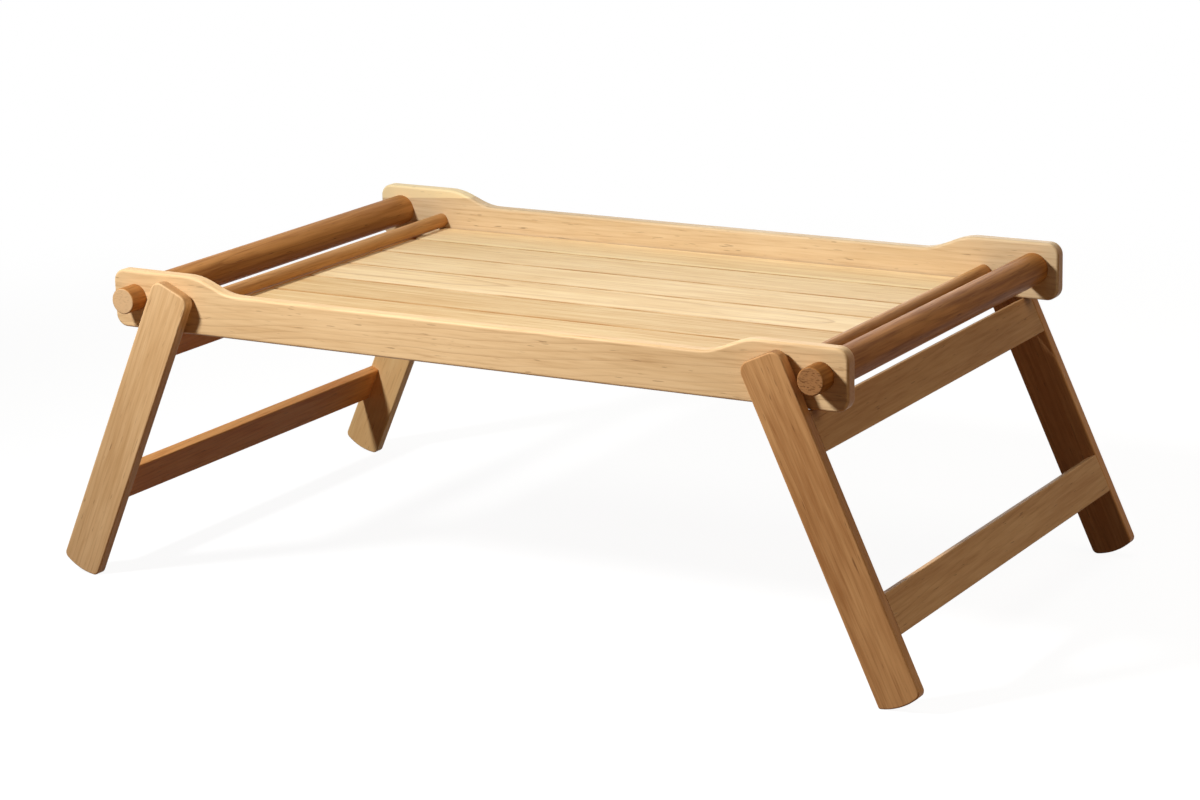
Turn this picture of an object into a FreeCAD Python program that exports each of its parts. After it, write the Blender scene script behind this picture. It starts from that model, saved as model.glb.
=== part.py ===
import FreeCAD, Part
import Sketcher
import math
import os

# Bed tray table: a slatted wooden tray between two side rails, carried by two folding leg frames.
#
# Frame of the part: +X runs along the tray to the right, +Y to the back, +Z up. The origin is on the
# floor under the middle of the tray. Lengths are in millimetres, angles in degrees.
#
# The side rails stand on edge. At each end a thick round bar joins them, with its ends turned down and
# standing out as pegs. Just inboard of each bar a thin rod goes through both rails and into blind
# bores in the legs: it is the axle of that end's leg frame. Each leg frame is two flat legs outside the
# rails and two flat stretchers between them. Standing, the upper stretcher's top edge bears against the
# underside of the rails. Folding, the frame swings inward until the same stretcher meets it again.

DRIVING_SIZES = (
    ("rail_length", 640.0, "side rail, end to end"),
    ("rail_height", 46.0, "side rail at its raised ends"),
    ("rail_mid_height", 33.6, "side rail along its lower middle"),
    ("rail_thickness", 11.5, "side rail board"),
    ("rail_spread", 386.0, "outer face to outer face of the two rails"),
    ("raised_end_length", 79.5, "rail's end to the top of the slope down to its middle"),
    ("ramp_run", 30.0, "length of that slope along the rail"),
    ("ramp_radius", 50.0, "hollow and crown of the slope"),
    ("rail_corner_radius", 10.0, "corners of the rail's outline"),
    ("rail_arris_radius", 2.2, "softened arrises of the rail"),
    ("bar_from_end", 21.0, "end bar's axis to the rail's end"),
    ("bar_above_bottom", 25.0, "end bar's axis above the rails' bottom edge"),
    ("bar_diameter", 25.4, "end bar between the rails"),
    ("peg_diameter", 20.7, "turned-down end of the bar"),
    ("peg_length", 16.8, "how far the peg stands out of the rail"),
    ("peg_arris_radius", 1.2, "rounding of the peg's end"),
    ("glue_clearance", 0.05, "round tenon in its hole, on the radius"),
    ("rod_from_bar", 42.0, "pivot rod's axis inboard of the end bar's"),
    ("rod_diameter", 12.0, "pivot rod"),
    ("rod_chamfer", 0.8, "chamfer on the rod's ends"),
    ("rod_seat_clearance", 0.1, "under the rod, above the slats"),
    ("running_clearance", 0.06, "rod in the leg's bore, on the radius"),
    ("rod_in_leg", 7.0, "length of rod inside each leg"),
    ("bore_end_clearance", 0.4, "end of the rod to the bottom of its blind bore"),
    ("slat_end_from_rod", 4.0, "slat's end inboard of the pivot rod's axis"),
    ("slat_thickness", 6.0, "slat board"),
    ("slat_count", 7, "slats side by side"),
    ("slat_gap", 1.6, "between two slats"),
    ("slat_side_gap", 0.8, "outermost slat to the rail"),
    ("slat_corner_radius", 4.5, "corners of a slat, seen from above"),
    ("slat_arris_radius", 1.0, "rounded top arrises of a slat"),
    ("batten_from_rod", 21.0, "end batten's middle inboard of the pivot rod's axis"),
    ("batten_width", 28.0, "batten, across"),
    ("batten_thickness", 6.0, "batten board"),
    ("batten_recess", 0.5, "batten's underside above the rails' bottom edge"),
    ("housing_depth", 5.0, "notch in the rail that takes the batten's end"),
    ("housing_clearance", 0.1, "batten in its notch, each side"),
    ("housing_overcut", 1.0, "notch cut past the rail's bottom edge"),
    ("screw_diameter", 3.0, "shank of a slat screw"),
    ("screw_head_diameter", 6.0, "countersunk head"),
    ("screw_head_height", 1.8, "height of the countersunk head's cone"),
    ("screw_length", 10.2, "head face to tip"),
    ("screw_point_length", 1.6, "cone at the tip"),
    ("screw_clearance", 0.05, "screw in its hole, on the radius and at the tip"),
    ("splay_angle", 24.6, "standing leg from upright"),
    ("leg_width", 35.0, "leg board, across"),
    ("leg_thickness", 10.0, "leg board"),
    ("leg_gap", 2.0, "rail to leg"),
    ("pivot_to_inner_edge", 11.6, "pivot to the leg's inward edge"),
    ("leg_above_pivot", 17.4, "pivot to the leg's top end"),
    ("leg_below_pivot", 246.9, "pivot to the crown of the foot"),
    ("leg_top_radius", 8.5, "corners at the leg's top"),
    ("foot_crown_radius", 47.0, "gentle arc that ends the leg"),
    ("foot_corner_radius", 5.0, "corners of the foot"),
    ("crisp_corner_radius", 2.0, "inner foot corner of the front right leg"),
    ("leg_arris_radius", 1.3, "softened arrises of the leg"),
    ("stretcher_width", 31.0, "stretcher board, across"),
    ("stretcher_thickness", 8.5, "stretcher board"),
    ("stretcher_inset", 0.3, "stretcher's outer face inside the leg's outward edge"),
    ("stretcher_arris_radius", 1.0, "softened arrises of the stretcher"),
    ("stretcher_end_clearance", 0.05, "stretcher's shoulder to the leg"),
    ("lower_stretcher_drop", 168.6, "pivot to the lower stretcher's top edge"),
    ("stop_clearance", 0.2, "upper stretcher's top arris to the rails' underside"),
    ("tenon_length", 6.0, "stretcher's stub tenon"),
    ("tenon_thickness", 4.5, "stub tenon, through the board's thickness"),
    ("tenon_shoulder", 4.0, "stub tenon's shoulder at each edge of the board"),
    ("mortise_clearance", 0.1, "stub tenon in its mortise, all round and at its end"),
    ("washer_diameter", 21.0, "spacer washer between rail and leg"),
    ("washer_face_clearance", 0.05, "washer to the rail and to the leg"),
    ("washer_bore_clearance", 0.06, "washer round the rod, on the radius"),
)

# Sizes worked out from the driving ones. In the leg frame, "out" is measured across the leg from the
# pivot towards its outward edge and "drop" along the leg from the pivot towards the foot.
WORKED_SIZES = (
    ("bar_x", "Sizes.rail_length / 2 - Sizes.bar_from_end"),
    ("rod_x", "Worked.bar_x - Sizes.rod_from_bar"),
    ("batten_x", "Worked.rod_x - Sizes.batten_from_rod"),
    ("slat_half_length", "Worked.rod_x - Sizes.slat_end_from_rod"),
    ("ramp_top_x", "Sizes.rail_length / 2 - Sizes.raised_end_length"),
    ("ramp_foot_x", "Worked.ramp_top_x - Sizes.ramp_run"),
    ("inner_half", "Sizes.rail_spread / 2 - Sizes.rail_thickness"),
    ("peg_end", "Sizes.rail_spread / 2 + Sizes.peg_length"),
    ("leg_inner", "Sizes.rail_spread / 2 + Sizes.leg_gap"),
    ("rod_end", "Worked.leg_inner + Sizes.rod_in_leg"),
    ("slat_width", "(2 * Worked.inner_half - 2 * Sizes.slat_side_gap"
                   " - (Sizes.slat_count - 1) * Sizes.slat_gap) / Sizes.slat_count"),
    ("slat_pitch", "Worked.slat_width + Sizes.slat_gap"),
    ("first_slat_y", "-Worked.slat_pitch * (Sizes.slat_count - 1) / 2"),
    ("slat_bottom", "Sizes.batten_recess + Sizes.batten_thickness"),
    ("slat_top", "Worked.slat_bottom + Sizes.slat_thickness"),
    ("pivot_above_bottom", "Worked.slat_top + Sizes.rod_seat_clearance + Sizes.rod_diameter / 2"),
    ("inner_edge", "-Sizes.pivot_to_inner_edge"),
    ("outer_edge", "Sizes.leg_width - Sizes.pivot_to_inner_edge"),
    ("crown_centre_drop", "Sizes.leg_below_pivot - Sizes.foot_crown_radius"),
    # the foot stands on the round of its inner corner: that round's centre, then the pivot's height
    ("corner_centre_out", "Worked.inner_edge + Sizes.foot_corner_radius"),
    ("corner_centre_drop", "Worked.crown_centre_drop"
                           " + sqrt((Sizes.foot_crown_radius - Sizes.foot_corner_radius) ^ 2"
                           " - (Sizes.leg_width / 2 - Sizes.foot_corner_radius) ^ 2)"),
    ("pivot_height", "Worked.corner_centre_drop * cos(Sizes.splay_angle)"
                     " - Worked.corner_centre_out * sin(Sizes.splay_angle) + Sizes.foot_corner_radius"),
    # the leg with the crisp corner is a hair shorter, so that it stands on the same floor
    ("crisp_centre_out", "Worked.inner_edge + Sizes.crisp_corner_radius"),
    ("crisp_centre_drop", "(Worked.pivot_height - Sizes.crisp_corner_radius"
                          " + Worked.crisp_centre_out * sin(Sizes.splay_angle)) / cos(Sizes.splay_angle)"),
    ("crisp_below_pivot", "Worked.crisp_centre_drop + Sizes.foot_crown_radius"
                          " - sqrt((Sizes.foot_crown_radius - Sizes.crisp_corner_radius) ^ 2"
                          " - (Sizes.leg_width / 2 - Sizes.crisp_corner_radius) ^ 2)"),
    ("foot_sagitta", "Sizes.foot_crown_radius"
                     " - sqrt(Sizes.foot_crown_radius ^ 2 - (Sizes.leg_width / 2) ^ 2)"),
    ("rail_bottom", "Worked.pivot_height - Worked.pivot_above_bottom"),
    ("stretcher_outer", "Worked.outer_edge - Sizes.stretcher_inset"),
    ("stretcher_inner", "Worked.stretcher_outer - Sizes.stretcher_thickness"),
    # the rounded top arris of the upper stretcher just clears the rails' underside
    ("upper_stretcher_drop", "(Worked.pivot_above_bottom + Sizes.stop_clearance"
                             " + Worked.stretcher_outer * sin(Sizes.splay_angle)"
                             " - Sizes.stretcher_arris_radius"
                             " * (cos(Sizes.splay_angle) + sin(Sizes.splay_angle) - 1))"
                             " / cos(Sizes.splay_angle)"),
    ("stretcher_half_length", "Worked.leg_inner - Sizes.stretcher_end_clearance"),
    ("tenon_inner", "(Worked.stretcher_outer + Worked.stretcher_inner - Sizes.tenon_thickness) / 2"),
    ("tenon_outer", "Worked.tenon_inner + Sizes.tenon_thickness"),
)

LEFT, RIGHT = -1, 1
FRONT, BACK = -1, 1
SIDE_NAMES = {LEFT: "left", RIGHT: "right"}
END_NAMES = {FRONT: "front", BACK: "back"}
BATTEN_MIDDLES = {"left": "-Worked.batten_x", "middle": "0", "right": "Worked.batten_x"}

doc = FreeCAD.newDocument("BedTrayTable")


def fill_sheets():
    """Write the driving sizes as plain numbers and the worked ones as formulas on them."""
    sizes = doc.addObject("Spreadsheet::Sheet", "Sizes")
    for row, (name, value, note) in enumerate(DRIVING_SIZES, start=1):
        sizes.set(f"A{row}", name)
        sizes.set(f"B{row}", str(value))
        sizes.setAlias(f"B{row}", name)
        sizes.set(f"C{row}", note)
    doc.recompute()
    worked = doc.addObject("Spreadsheet::Sheet", "Worked")
    for row, (name, formula) in enumerate(WORKED_SIZES, start=1):
        worked.set(f"A{row}", name)
        worked.setAlias(f"B{row}", name)
        worked.set(f"B{row}", "=" + formula.replace("Worked.", ""))
    doc.recompute()
    return sizes


sheet = fill_sheets()


def number(formula):
    """The present value of a formula on the sheets."""
    return float(sheet.evalExpression(formula))


def new_body(label):
    body = doc.addObject("PartDesign::Body", label)
    body.Label = label
    return body


def place(body, x="0", y="0", z="0"):
    for axis, formula in (("x", x), ("y", y), ("z", z)):
        body.setExpression(f".Placement.Base.{axis}", formula)


def origin_part(body, role):
    return next(item for item in body.Origin.OriginFeatures if item.Role == role)


def new_sketch(body, name, plane, offset=None):
    sketch = body.newObject("Sketcher::SketchObject", name)
    sketch.AttachmentSupport = [(origin_part(body, plane), "")]
    sketch.MapMode = "FlatFace"
    if offset is not None:
        sketch.setExpression(".AttachmentOffset.Base.z", offset)
    return sketch


def hold_point(sketch, geometry, point, x, y):
    """Tie one point of a sketch to the sheets by its two distances from the sketch's origin."""
    for kind, formula, axis in (("DistanceX", x, -2), ("DistanceY", y, -1)):
        if formula == "0":
            sketch.addConstraint(Sketcher.Constraint("PointOnObject", geometry, point, axis))
            continue
        held = sketch.addConstraint(Sketcher.Constraint(kind, -1, 1, geometry, point, number(formula)))
        sketch.renameConstraint(held, f"{kind}_{geometry}_{point}")
        sketch.setExpression(f"Constraints.{kind}_{geometry}_{point}", formula)


def draw_outline(sketch, corners, crowned=None, crown_radius=None):
    """Closed outline through corners, each a pair of formulas. The run that starts at the corner
    numbered crowned is an arc of crown_radius that bulges outward; the outline runs anticlockwise."""
    points = [FreeCAD.Vector(number(x), number(y), 0) for x, y in corners]
    first = sketch.GeometryCount
    for i, start in enumerate(points):
        end = points[(i + 1) % len(points)]
        if i == crowned:
            radius = number(crown_radius)
            chord = end - start
            outward = FreeCAD.Vector(chord.y, -chord.x, 0).normalize()
            rise = radius - math.sqrt(radius ** 2 - (chord.Length / 2) ** 2)
            sketch.addGeometry(Part.Arc(start, (start + end) / 2 + outward * rise, end), False)
        else:
            sketch.addGeometry(Part.LineSegment(start, end), False)
    ends = {}
    for i in range(len(points)):
        geometry = sketch.Geometry[first + i]
        begins = geometry.StartPoint.distanceToPoint(points[i]) < 1e-6
        ends[i] = (1, 2) if begins else (2, 1)
    for i, (x, y) in enumerate(corners):
        follower = (i + 1) % len(points)
        sketch.addConstraint(Sketcher.Constraint("Coincident", first + i, ends[i][1],
                                                 first + follower, ends[follower][0]))
        hold_point(sketch, first + i, ends[i][0], x, y)
    if crowned is not None:
        held = sketch.addConstraint(Sketcher.Constraint("Radius", first + crowned, number(crown_radius)))
        sketch.renameConstraint(held, "crown")
        sketch.setExpression("Constraints.crown", crown_radius)


def draw_rectangle(sketch, x_low, x_high, y_low, y_high):
    draw_outline(sketch, ((x_low, y_low), (x_high, y_low), (x_high, y_high), (x_low, y_high)))


def draw_circle(sketch, x, y, diameter):
    centre = FreeCAD.Vector(number(x), number(y), 0)
    circle = sketch.addGeometry(Part.Circle(centre, FreeCAD.Vector(0, 0, 1), number(diameter) / 2), False)
    hold_point(sketch, circle, 3, x, y)
    held = sketch.addConstraint(Sketcher.Constraint("Diameter", circle, number(diameter)))
    sketch.renameConstraint(held, f"diameter_{circle}")
    sketch.setExpression(f"Constraints.diameter_{circle}", diameter)


def pad(body, sketch, length, reverse=False, midplane=False):
    feature = body.newObject("PartDesign::Pad", "Board")
    feature.Profile = sketch
    feature.setExpression("Length", length)
    feature.Reversed = reverse
    if midplane:
        feature.SideType = "Symmetric"
    doc.recompute()
    return feature


def cut(body, sketch, depth, reverse):
    """Pocket to a depth; the body has to lose volume by it."""
    before = body.Shape.Volume
    feature = body.newObject("PartDesign::Pocket", "Cut")
    feature.Profile = sketch
    feature.setExpression("Length", depth)
    feature.Reversed = reverse
    doc.recompute()
    if body.Shape.Volume >= before:
        raise RuntimeError(f"{body.Label}: {sketch.Name} cuts nothing")
    return feature


def turn(body, sketch, groove=False):
    """Revolve a profile about the sketch's vertical axis, as a solid or as a cut."""
    before = body.Shape.Volume if groove else 0.0
    feature = body.newObject("PartDesign::Groove" if groove else "PartDesign::Revolution", "Turned")
    feature.Profile = sketch
    feature.ReferenceAxis = (sketch, ["V_Axis"])
    feature.Angle = 360.0
    doc.recompute()
    if groove and body.Shape.Volume >= before:
        raise RuntimeError(f"{body.Label}: {sketch.Name} cuts nothing")
    return feature


def edge_names(body, wanted):
    return [f"Edge{i}" for i, edge in enumerate(body.Shape.Edges, start=1) if wanted(edge)]


def round_edges(body, radius, wanted):
    base = body.Tip
    names = edge_names(body, wanted)
    if not names:
        raise RuntimeError(f"{body.Label}: no edge to round")
    feature = body.newObject("PartDesign::Fillet", "Rounding")
    feature.Base = (base, names)
    feature.setExpression("Radius", radius)
    doc.recompute()
    return feature


def runs_along(edge, axis):
    """True for a straight edge parallel to the axis."""
    if edge.Curve.TypeId != "Part::GeomLine":
        return False
    return abs(abs(edge.Curve.Direction.dot(axis)) - 1.0) < 1e-6


ALONG_Y = FreeCAD.Vector(0, 1, 0)
ALONG_Z = FreeCAD.Vector(0, 0, 1)
TOUCH = 0.01


def near(value, formula):
    return abs(value - number(formula)) < TOUCH


def stands_at(edge, *places):
    """True for an outline corner's edge, parallel to Y, at one of the distances from the middle."""
    return runs_along(edge, ALONG_Y) and any(near(abs(edge.BoundBox.Center.x), x) for x in places)


def outline_arris(edge):
    """True for an edge of a board's two broad faces, which face -Y and +Y, other than a bore's rim."""
    box = edge.BoundBox
    return box.YLength < TOUCH and not edge.isClosed()


def side_rail(end):
    """Board on edge. Its local origin is under the middle of its inner face, at its bottom edge."""
    body = new_body(f"side_rail_{END_NAMES[end]}")
    to_back = end == BACK
    half = new_sketch(body, "HalfOutline", "XZ_Plane")
    draw_outline(half, (
        ("0", "0"),
        ("Sizes.rail_length / 2", "0"),
        ("Sizes.rail_length / 2", "Sizes.rail_height"),
        ("Worked.ramp_top_x", "Sizes.rail_height"),
        ("Worked.ramp_foot_x", "Sizes.rail_mid_height"),
        ("0", "Sizes.rail_mid_height")))
    board = pad(body, half, "Sizes.rail_thickness", reverse=to_back)
    bores = new_sketch(body, "Bores", "XZ_Plane")
    draw_circle(bores, "Worked.bar_x", "Sizes.bar_above_bottom",
                "Sizes.peg_diameter + 2 * Sizes.glue_clearance")
    draw_circle(bores, "Worked.rod_x", "Worked.pivot_above_bottom",
                "Sizes.rod_diameter + 2 * Sizes.glue_clearance")
    bored = cut(body, bores, "Sizes.rail_thickness", reverse=not to_back)
    whole = body.newObject("PartDesign::Mirrored", "BothHalves")
    whole.Originals = [board, bored]
    whole.MirrorPlane = (origin_part(body, "YZ_Plane"), [""])
    whole.Refine = True
    body.Tip = whole
    doc.recompute()
    round_edges(body, "Sizes.rail_corner_radius", lambda e: stands_at(e, "Sizes.rail_length / 2"))
    round_edges(body, "Sizes.ramp_radius", lambda e: stands_at(e, "Worked.ramp_top_x", "Worked.ramp_foot_x"))
    round_edges(body, "Sizes.rail_arris_radius", outline_arris)
    housings = new_sketch(body, "BattenHousings", "XZ_Plane")
    half_width = "(Sizes.batten_width / 2 + Sizes.housing_clearance)"
    for middle in BATTEN_MIDDLES.values():
        draw_rectangle(housings, f"{middle} - {half_width}", f"{middle} + {half_width}",
                       "-Sizes.housing_overcut", "Worked.slat_bottom")
    cut(body, housings, "Sizes.housing_depth", reverse=not to_back)
    place(body, y=f"{end} * Worked.inner_half", z="Worked.rail_bottom")
    return body


def slat(index):
    """Slat number index, counted from the front. Its local origin is in the middle of its underside."""
    body = new_body(f"slat_{index}")
    outline = new_sketch(body, "Outline", "XY_Plane")
    draw_rectangle(outline, "-Worked.slat_half_length", "Worked.slat_half_length",
                   "-Worked.slat_width / 2", "Worked.slat_width / 2")
    pad(body, outline, "Sizes.slat_thickness")
    round_edges(body, "Sizes.slat_corner_radius", lambda e: runs_along(e, ALONG_Z))
    round_edges(body, "Sizes.slat_arris_radius",
                lambda e: near(e.BoundBox.ZMin, "Sizes.slat_thickness"))
    pilots = new_sketch(body, "PilotHoles", "XY_Plane")
    for middle in BATTEN_MIDDLES.values():
        draw_circle(pilots, middle, "0", "Sizes.screw_diameter + 2 * Sizes.screw_clearance")
    cut(body, pilots, "Sizes.screw_length + Sizes.screw_clearance - Sizes.batten_thickness", reverse=True)
    place(body, y=f"Worked.first_slat_y + {index - 1} * Worked.slat_pitch",
          z="Worked.rail_bottom + Worked.slat_bottom")
    return body


def batten(where):
    """Cross batten with a countersunk hole under each slat. Local origin: middle of its underside."""
    body = new_body(f"batten_{where}")
    outline = new_sketch(body, "Outline", "XY_Plane")
    half_length = "(Worked.inner_half + Sizes.housing_depth - Sizes.housing_clearance)"
    draw_rectangle(outline, "-Sizes.batten_width / 2", "Sizes.batten_width / 2",
                   f"-{half_length}", half_length)
    pad(body, outline, "Sizes.batten_thickness")
    section = new_sketch(body, "CountersinkSection", "XZ_Plane", offset="-Worked.first_slat_y")
    shank = "Sizes.screw_diameter / 2 + Sizes.screw_clearance"
    head = "Sizes.screw_head_diameter / 2 + Sizes.screw_clearance"
    draw_outline(section, (("0", "0"), (head, "0"), (shank, "Sizes.screw_head_height"),
                           (shank, "Sizes.batten_thickness"), ("0", "Sizes.batten_thickness")))
    countersink = turn(body, section, groove=True)
    row = body.newObject("PartDesign::LinearPattern", "CountersinkRow")
    row.Originals = [countersink]
    row.Direction = (origin_part(body, "Y_Axis"), [""])
    row.setExpression("Length", "Worked.slat_pitch * (Sizes.slat_count - 1)")
    row.setExpression("Occurrences", "Sizes.slat_count")
    body.Tip = row
    doc.recompute()
    place(body, x=BATTEN_MIDDLES[where], z="Worked.rail_bottom + Sizes.batten_recess")
    return body


def end_bar(side):
    """Thick round bar, shouldered against the rails, with its turned-down ends as pegs."""
    body = new_body(f"end_bar_{SIDE_NAMES[side]}")
    half_profile = new_sketch(body, "HalfProfile", "XY_Plane")
    peg = "Sizes.peg_diameter / 2"
    shoulder = "(Worked.inner_half - Sizes.glue_clearance)"
    draw_outline(half_profile, (
        ("0", "-Worked.peg_end"), (peg, "-Worked.peg_end"), (peg, f"-{shoulder}"),
        ("Sizes.bar_diameter / 2", f"-{shoulder}"), ("Sizes.bar_diameter / 2", shoulder),
        (peg, shoulder), (peg, "Worked.peg_end"), ("0", "Worked.peg_end")))
    turn(body, half_profile)
    round_edges(body, "Sizes.peg_arris_radius",
                lambda e: e.isClosed() and near(abs(e.BoundBox.Center.y), "Worked.peg_end"))
    place(body, x=f"{side} * Worked.bar_x", z="Worked.rail_bottom + Sizes.bar_above_bottom")
    return body


def pivot_rod(side):
    """Thin round rod through both rails and into the legs: the axle of one leg frame."""
    body = new_body(f"pivot_rod_{SIDE_NAMES[side]}")
    half_profile = new_sketch(body, "HalfProfile", "XY_Plane")
    radius = "Sizes.rod_diameter / 2"
    draw_outline(half_profile, (
        ("0", "-Worked.rod_end"), (f"{radius} - Sizes.rod_chamfer", "-Worked.rod_end"),
        (radius, "Sizes.rod_chamfer - Worked.rod_end"), (radius, "Worked.rod_end - Sizes.rod_chamfer"),
        (f"{radius} - Sizes.rod_chamfer", "Worked.rod_end"), ("0", "Worked.rod_end")))
    turn(body, half_profile)
    place(body, x=f"{side} * Worked.rod_x", z="Worked.pivot_height")
    return body


def pivot_washer(side, end):
    """Flat spacer washer round the rod, between rail and leg."""
    body = new_body(f"pivot_washer_{SIDE_NAMES[side]}_{END_NAMES[end]}")
    ring = new_sketch(body, "Ring", "XZ_Plane")
    draw_circle(ring, "0", "0", "Sizes.washer_diameter")
    draw_circle(ring, "0", "0", "Sizes.rod_diameter + 2 * Sizes.washer_bore_clearance")
    pad(body, ring, "Sizes.leg_gap - 2 * Sizes.washer_face_clearance", reverse=end == BACK)
    place(body, x=f"{side} * Worked.rod_x",
          y=f"{end} * (Sizes.rail_spread / 2 + Sizes.washer_face_clearance)", z="Worked.pivot_height")
    return body


def slat_screws():
    """One countersunk screw under each crossing of slat and batten, point up."""
    body = new_body("slat_screws")
    body.AllowCompound = True
    section = new_sketch(body, "HalfProfile", "XZ_Plane", offset="-Worked.first_slat_y")
    shank = "Sizes.screw_diameter / 2"
    draw_outline(section, (
        ("0", "0"), ("Sizes.screw_head_diameter / 2", "0"), (shank, "Sizes.screw_head_height"),
        (shank, "Sizes.screw_length - Sizes.screw_point_length"), ("0", "Sizes.screw_length")))
    screw = turn(body, section)
    grid = body.newObject("PartDesign::MultiTransform", "ScrewGrid")
    grid.Originals = [screw]
    rows = []
    for name, axis, reach, count in (
            ("AlongBatten", "Y_Axis", "Worked.slat_pitch * (Sizes.slat_count - 1)", "Sizes.slat_count"),
            ("AcrossBattens", "X_Axis", "2 * Worked.batten_x", str(len(BATTEN_MIDDLES)))):
        row = body.newObject("PartDesign::LinearPattern", name)
        row.Direction = (origin_part(body, axis), [""])
        row.setExpression("Length", reach)
        row.setExpression("Occurrences", count)
        rows.append(row)
    grid.Transformations = rows
    body.Tip = grid
    doc.recompute()
    place(body, x="-Worked.batten_x", z="Worked.rail_bottom + Sizes.batten_recess")
    return body


def outward(side, formula):
    """A distance across the leg frame, seen in a sketch whose X points to the tray's right."""
    return formula if side == RIGHT else f"-({formula})"


def in_leg_frame(body, side, y="0"):
    """Put the pivot, where the local origin is, on the rod's axis and splay the frame outward."""
    place(body, x=f"{side} * Worked.rod_x", y=y, z="Worked.pivot_height")
    splay = FreeCAD.Rotation(FreeCAD.Vector(0, -side, 0), number("Sizes.splay_angle"))
    body.Placement = FreeCAD.Placement(body.Placement.Base, splay)
    body.setExpression(".Placement.Rotation.Angle", "Sizes.splay_angle")


def leg(side, end):
    """Flat leg. Its local origin is where the pivot's axis meets its inner face; local -Z is down it."""
    body = new_body(f"leg_{SIDE_NAMES[side]}_{END_NAMES[end]}")
    crisp = side == RIGHT and end == FRONT
    foot = "Worked.crisp_below_pivot" if crisp else "Sizes.leg_below_pivot"
    foot_side = f"Worked.foot_sagitta - {foot}"
    inner, outer = outward(side, "Worked.inner_edge"), outward(side, "Worked.outer_edge")
    left, right = (inner, outer) if side == RIGHT else (outer, inner)
    outline = new_sketch(body, "Outline", "XZ_Plane")
    draw_outline(outline, ((left, foot_side), (right, foot_side),
                           (right, "Sizes.leg_above_pivot"), (left, "Sizes.leg_above_pivot")),
                 crowned=0, crown_radius="Sizes.foot_crown_radius")
    pad(body, outline, "Sizes.leg_thickness", reverse=end == BACK)

    def foot_corner(edge):
        return runs_along(edge, ALONG_Y) and edge.BoundBox.Center.z < 0

    def crisp_corner(edge):
        return crisp and foot_corner(edge) and near(edge.BoundBox.Center.x, inner)

    round_edges(body, "Sizes.foot_corner_radius", lambda e: foot_corner(e) and not crisp_corner(e))
    if crisp:
        round_edges(body, "Sizes.crisp_corner_radius", crisp_corner)
    round_edges(body, "Sizes.leg_top_radius",
                lambda e: runs_along(e, ALONG_Y) and near(e.BoundBox.Center.z, "Sizes.leg_above_pivot"))
    round_edges(body, "Sizes.leg_arris_radius", outline_arris)
    bore = new_sketch(body, "PivotBore", "XZ_Plane")
    draw_circle(bore, "0", "0", "Sizes.rod_diameter + 2 * Sizes.running_clearance")
    cut(body, bore, "Sizes.rod_in_leg + Sizes.bore_end_clearance", reverse=end == FRONT)
    mortises = new_sketch(body, "Mortises", "XZ_Plane")
    near_side = outward(side, "Worked.tenon_inner - Sizes.mortise_clearance")
    far_side = outward(side, "Worked.tenon_outer + Sizes.mortise_clearance")
    x_low, x_high = (near_side, far_side) if side == RIGHT else (far_side, near_side)
    for drop in ("Worked.upper_stretcher_drop", "Sizes.lower_stretcher_drop"):
        draw_rectangle(mortises, x_low, x_high,
                       f"Sizes.tenon_shoulder - Sizes.mortise_clearance - {drop} - Sizes.stretcher_width",
                       f"Sizes.mortise_clearance - {drop} - Sizes.tenon_shoulder")
    cut(body, mortises, "Sizes.tenon_length + Sizes.mortise_clearance", reverse=end == FRONT)
    in_leg_frame(body, side, y=f"{end} * Worked.leg_inner")
    return body


def stretcher(level, side):
    """Flat board between the legs, outer face flush with their outward edges, stub tenons in them."""
    body = new_body(f"{level}_stretcher_{SIDE_NAMES[side]}")
    drop = "Worked.upper_stretcher_drop" if level == "upper" else "Sizes.lower_stretcher_drop"
    faces = [outward(side, "Worked.stretcher_inner"), outward(side, "Worked.stretcher_outer")]
    cheeks = [outward(side, "Worked.tenon_inner"), outward(side, "Worked.tenon_outer")]
    x_low, x_high = faces if side == RIGHT else reversed(faces)
    section = new_sketch(body, "Section", "XZ_Plane")
    draw_rectangle(section, x_low, x_high, f"-{drop} - Sizes.stretcher_width", f"-{drop}")
    pad(body, section, "2 * Worked.stretcher_half_length", midplane=True)
    round_edges(body, "Sizes.stretcher_arris_radius", lambda e: runs_along(e, ALONG_Y))
    x_low, x_high = cheeks if side == RIGHT else reversed(cheeks)
    tenon = new_sketch(body, "TenonSection", "XZ_Plane")
    draw_rectangle(tenon, x_low, x_high, f"Sizes.tenon_shoulder - {drop} - Sizes.stretcher_width",
                   f"-{drop} - Sizes.tenon_shoulder")
    pad(body, tenon, "2 * (Worked.leg_inner + Sizes.tenon_length)", midplane=True)
    in_leg_frame(body, side)
    return body


def build_table():
    """Every piece of the table, in the order in which it goes together on the bench."""
    pieces = [side_rail(FRONT), side_rail(BACK)]
    pieces += [slat(index) for index in range(1, int(number("Sizes.slat_count")) + 1)]
    pieces += [batten(where) for where in BATTEN_MIDDLES]
    pieces.append(slat_screws())
    for side in (LEFT, RIGHT):
        pieces.append(end_bar(side))
        pieces.append(pivot_rod(side))
        for end in (FRONT, BACK):
            pieces.append(leg(side, end))
            pieces.append(pivot_washer(side, end))
        pieces.append(stretcher("upper", side))
        pieces.append(stretcher("lower", side))
    doc.recompute()
    return pieces


def check(pieces):
    """Stop on any object that failed to recompute and on any piece without a sound solid."""
    for item in doc.Objects:
        if "Invalid" in item.State or "Error" in item.State:
            raise RuntimeError(f"{item.Name} ({item.Label}) failed: {item.State}")
    for piece in pieces:
        if piece.Shape.isNull() or not piece.Shape.isValid() or not piece.Shape.Solids:
            raise RuntimeError(f"{piece.Label} has no sound solid")


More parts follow.
